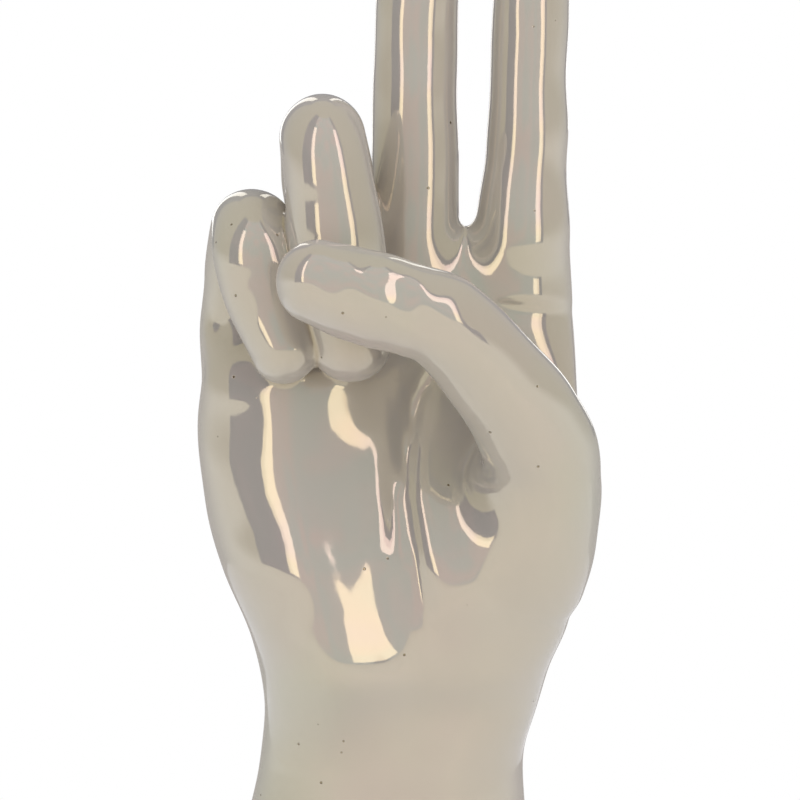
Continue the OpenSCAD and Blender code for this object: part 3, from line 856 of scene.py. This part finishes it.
ripple = noise(tree, place, 85, 2, 5.5)
peel = maths(tree, "ADD", ripple, maths(tree, "MULTIPLY", patches.outputs["Grain"], 0.03))
peel = maths(tree, "SUBTRACT", peel, maths(tree, "MULTIPLY", pinhole, 0.8))
bump = add_node(tree, "ShaderNodeBump")
bump.inputs["Strength"].default_value = 0.35
bump.inputs["Distance"].default_value = 0.0003
tree.links.new(peel, bump.inputs["Height"])
tree.links.new(bump.outputs["Normal"], shader.inputs["Normal"])
for piece in castings.values():
    piece.data.materials.clear()
    piece.data.materials.append(glaze)
print(f"{glaze.name} on {len(castings)} castings, {len(tree.nodes)} nodes")

# %% [markdown]
# ## Bare clay and rubber
# The floor slab is unglazed clay, chalky and faintly sandy. The pad is die-cut sheet rubber with
# a fine matt grain. Both solids already have the right shape, so they only get their finish.

# %% Bare clay and rubber materials


def grainy(name, node, low, high, patch_scale, grain_scale, roughness, depth):
    """A matt material between two colours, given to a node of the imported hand."""
    material, tree, shader = principled(name)
    marks = add_node(tree, "ShaderNodeGroup", node_tree=mottle)
    marks.inputs["Patch Scale"].default_value = patch_scale
    marks.inputs["Grain Scale"].default_value = grain_scale
    share = maths(tree, "ADD", maths(tree, "MULTIPLY", marks.outputs["Patch"], 0.5),
                  maths(tree, "MULTIPLY", marks.outputs["Grain"], 0.5))
    colour = mix_colour(tree, map_range(tree, share, 0.35, 0.65), low, high)
    tree.links.new(colour, shader.inputs["Base Color"])
    shader.inputs["Roughness"].default_value = roughness
    bump = add_node(tree, "ShaderNodeBump")
    bump.inputs["Strength"].default_value = 0.5
    bump.inputs["Distance"].default_value = depth
    tree.links.new(marks.outputs["Grain"], bump.inputs["Height"])
    tree.links.new(bump.outputs["Normal"], shader.inputs["Normal"])
    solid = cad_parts[node]
    solid.data.materials.clear()
    solid.data.materials.append(material)
    print(f"{name} on {solid.name}")


grainy("bare_clay", "base_slab", (0.52, 0.44, 0.35), (0.74, 0.67, 0.57), 60, 1500, 0.85, 0.0002)
grainy("sheet_rubber", "rubber_pad", (0.028, 0.028, 0.030), (0.055, 0.055, 0.058), 180, 2600, 0.7, 0.0001)

# %% [markdown]
# ## A white table in a light tent
# The photograph shows two upright soft boxes beside the camera, mirrored as long bright strips,
# and the wrist mirrors a white table. The tent is the world. The camera sees it plain white, and
# the soft light of the object comes from the same white. The glaze's mirror sees white below the
# horizon, a dim warm tent above it and a grey one behind the hand, because a mirror that shows
# nothing but white loses its form.

# %% World
TENT_GLOW = 0.88
WHITE = (1, 1, 1)
DIM_TENT = (0.54, 0.50, 0.34)
TENT_BEHIND = (0.50, 0.47, 0.44)


def background(tree, colour, strength=1.0):
    node = add_node(tree, "ShaderNodeBackground")
    node.inputs["Strength"].default_value = strength
    if isinstance(colour, tuple):
        node.inputs["Color"].default_value = (*colour, 1)
    else:
        tree.links.new(colour, node.inputs["Color"])
    return node.outputs[0]


def choose(tree, ray, otherwise, there):
    """The second background for this kind of ray, and the first for every other."""
    node = add_node(tree, "ShaderNodeMixShader")
    tree.links.new(add_node(tree, "ShaderNodeLightPath").outputs[ray], node.inputs[0])
    tree.links.new(otherwise, node.inputs[1])
    tree.links.new(there, node.inputs[2])
    return node.outputs[0]


world = bpy.data.worlds.new("light_tent")
world.use_nodes = True
tree = world.node_tree
tree.nodes.clear()
direction = add_node(tree, "ShaderNodeSeparateXYZ")
tree.links.new(add_node(tree, "ShaderNodeTexCoord").outputs["Generated"], direction.inputs[0])
low_to_high = map_range(tree, direction.outputs["Z"], -0.04, 0.22)
front_to_back = map_range(tree, direction.outputs["Y"], 0.1, 1.0)
seen = mix_colour(tree, front_to_back, mix_colour(tree, low_to_high, WHITE, DIM_TENT), TENT_BEHIND)
soft = choose(tree, "Is Glossy Ray", background(tree, WHITE, TENT_GLOW), background(tree, seen))
out = add_node(tree, "ShaderNodeOutputWorld")
tree.links.new(choose(tree, "Is Camera Ray", soft, background(tree, WHITE)), out.inputs["Surface"])
bpy.context.scene.world = world
print(f"{world.name}: {len(tree.nodes)} nodes")

# %% [markdown]
# The table is a wide white disc under the pad. It takes the hand's soft shadow, and a little
# glow that only the camera sees lets its edge melt into the white of the tent.

# %% Table
TABLE_R = 450
TABLE_WHITE = 0.92
table = bmesh.new()
bmesh.ops.create_circle(table, cap_ends=True, segments=96, radius=TABLE_R)
bmesh.ops.scale(table, vec=(MM, MM, MM), verts=table.verts)
table_mesh = bpy.data.meshes.new("white_table")
table.to_mesh(table_mesh)
table.free()
table_top = bpy.data.objects.new("white_table", table_mesh)
bpy.context.scene.collection.objects.link(table_top)
white_top, tree, shader = principled("white_table_top")
shader.inputs["Base Color"].default_value = (TABLE_WHITE, TABLE_WHITE, TABLE_WHITE, 1)
shader.inputs["Roughness"].default_value = 0.6
seen_by_camera = add_node(tree, "ShaderNodeLightPath").outputs["Is Camera Ray"]
tree.links.new(maths(tree, "MULTIPLY", seen_by_camera, 0.25), shader.inputs["Emission Strength"])
shader.inputs["Emission Color"].default_value = (*WHITE, 1)
table_mesh.materials.append(white_top)
print(f"table {2 * TABLE_R} mm across")

# %% [markdown]
# The lamps are placed by compass: an angle from the camera's side, a lowest and a highest angle
# as seen from the hand's middle, and a width in degrees. Each is equally bright over its whole
# face. On the real hand the film turns the high reflections pink. Its tint can't change with
# height here, so the two front boxes turn from a warm foot to a pink top instead.

# %% Soft boxes
HAND_MIDDLE = Vector((0, 0, 130)) * MM
PINK_FROM_TO = (12, 24)
BOX_AWAY = 1.3
WARM = (1, 0.97, 0.92)


def compass(turn, radius):
    return Vector((math.sin(math.radians(turn)), -math.cos(math.radians(turn)), 0)) * radius


def upright_box(name, turn, low, high, wide, glow, colour, upper):
    """An upright soft box; glow is how bright its face is, where white paper in the tent is 1."""
    lamp = bpy.data.lights.new(name, "AREA")
    lamp.shape = "RECTANGLE"
    bottom, top, pink_from, pink_to = [
        BOX_AWAY * math.tan(math.radians(angle)) for angle in (low, high, *PINK_FROM_TO)]
    lamp.size = 2 * BOX_AWAY * math.tan(math.radians(wide / 2))
    lamp.size_y = top - bottom
    lamp.energy = glow * math.pi * lamp.size * lamp.size_y
    lamp.use_nodes = True
    tree = lamp.node_tree
    height = add_node(tree, "ShaderNodeSeparateXYZ")
    tree.links.new(add_node(tree, "ShaderNodeNewGeometry").outputs["Position"], height.inputs[0])
    share = map_range(tree, height.outputs["Z"], HAND_MIDDLE.z + pink_from, HAND_MIDDLE.z + pink_to)
    tree.links.new(mix_colour(tree, share, colour, upper), tree.nodes["Emission"].inputs["Color"])
    holder = bpy.data.objects.new(name, lamp)
    holder.location = HAND_MIDDLE + compass(turn, BOX_AWAY) + Vector((0, 0, (top + bottom) / 2))
    holder.rotation_euler = (math.radians(90), 0, math.radians(turn))
    bpy.context.scene.collection.objects.link(holder)
    print(f"{name}: {lamp.size:.2f} m wide, {lamp.size_y:.2f} m high")


upright_box("left_soft_box", -38, 3, 56, 9.5, 2.1, (1.0, 0.93, 0.80), (0.97, 0.86, 0.98))
upright_box("right_soft_box", 38.5, 3, 56, 11.5, 2.1, (1.0, 0.90, 0.80), (0.98, 0.80, 1.0))
upright_box("back_left_soft_box", -163, 5, 52, 12, 1.8, WARM, WARM)
upright_box("back_right_soft_box", 163, 5, 52, 12, 1.8, WARM, WARM)

# %% [markdown]
# A box over the table lights the tops. The glaze doesn't mirror it, because the photograph shows
# no such patch on the fingers.

# %% Overhead soft box
OVERHEAD_GLOW = 2.0
overhead = bpy.data.lights.new("overhead_soft_box", "AREA")
overhead.shape = "RECTANGLE"
overhead.size = 0.7
overhead.size_y = 0.5
overhead.energy = OVERHEAD_GLOW * math.pi * overhead.size * overhead.size_y
overhead_holder = bpy.data.objects.new("overhead_soft_box", overhead)
overhead_holder.location = (0.05, -0.45, 1.25)
overhead_holder.rotation_euler = (math.radians(-18), 0, 0)
overhead_holder.visible_glossy = False
bpy.context.scene.collection.objects.link(overhead_holder)
print(f"overhead box: {overhead.energy:.1f} W")

# %% [markdown]
# Four cards stand in for the studio round the table. They are bent like the side of a drum and
# hidden from the camera and from the soft light, so they show only in the glaze. The one between
# the front boxes drifts from blue-grey to rose, the two outside them are nearly black and give
# the mauve edge of the palm, and the last one keeps the back of the hand from looking flat.

# %% Studio cards
CARD_AWAY = 1.6
CARD_PIECES = 24
BLUE_GREY = (0.49, 0.60, 0.69)
ROSE_GREY = (0.70, 0.58, 0.65)
NEAR_BLACK = (0.03, 0.03, 0.04)
DEEP_MAUVE = (0.12, 0.07, 0.09)
DARK_GREY = (0.25, 0.25, 0.27)


def card_mesh(name, from_turn, to_turn, low, high):
    """A row of edges on an arc at the lowest angle, drawn up to the highest."""
    card = bmesh.new()
    bottom, top = [CARD_AWAY * math.tan(math.radians(angle)) for angle in (low, high)]
    turns = [from_turn + (to_turn - from_turn) * k / CARD_PIECES for k in range(CARD_PIECES + 1)]
    foot = [card.verts.new(HAND_MIDDLE + compass(turn, CARD_AWAY) + Vector((0, 0, bottom)))
            for turn in turns]
    edges = [card.edges.new(pair) for pair in zip(foot, foot[1:])]
    lifted = bmesh.ops.extrude_edge_only(card, edges=edges)["geom"]
    lifted = [part for part in lifted if isinstance(part, bmesh.types.BMVert)]
    bmesh.ops.translate(card, vec=(0, 0, top - bottom), verts=lifted)
    mesh = bpy.data.meshes.new(name)
    card.to_mesh(mesh)
    card.free()
    return mesh


def card_glow(name, colour, other):
    """A plain glow that drifts slowly from one colour to the other."""
    material = bpy.data.materials.new(name)
    material.use_nodes = True
    tree = material.node_tree
    tree.nodes.clear()
    glow = add_node(tree, "ShaderNodeEmission")
    place = add_node(tree, "ShaderNodeTexCoord").outputs["Object"]
    share = map_range(tree, noise(tree, place, 1.6, 1, 4.2), 0.38, 0.62)
    tree.links.new(mix_colour(tree, share, colour, other), glow.inputs["Color"])
    out = add_node(tree, "ShaderNodeOutputMaterial")
    tree.links.new(glow.outputs[0], out.inputs["Surface"])
    return material


def studio_card(name, from_turn, to_turn, low, high, colour, other):
    mesh = card_mesh(name, from_turn, to_turn, low, high)
    mesh.materials.append(card_glow(name, colour, other))
    holder = bpy.data.objects.new(name, mesh)
    bpy.context.scene.collection.objects.link(holder)
    holder.visible_camera = False
    holder.visible_diffuse = False
    holder.visible_shadow = False
    holder.visible_transmission = False
    print(f"{name}: {to_turn - from_turn} degrees wide")


studio_card("dark_studio_front", -40, 40, 1.5, 74, BLUE_GREY, ROSE_GREY)
studio_card("dark_corner_left", -68, -40, 1.5, 74, NEAR_BLACK, DEEP_MAUVE)
studio_card("dark_corner_right", 40, 50, 1.5, 74, NEAR_BLACK, DEEP_MAUVE)
studio_card("dark_studio_back", 140, 220, 4.5, 60, DARK_GREY, DARK_GREY)

# %% [markdown]
# ## The view
# The view transform stays plain, so that a colour shows as it is written.

# %% Finish
bpy.context.scene.view_settings.view_transform = "Standard"
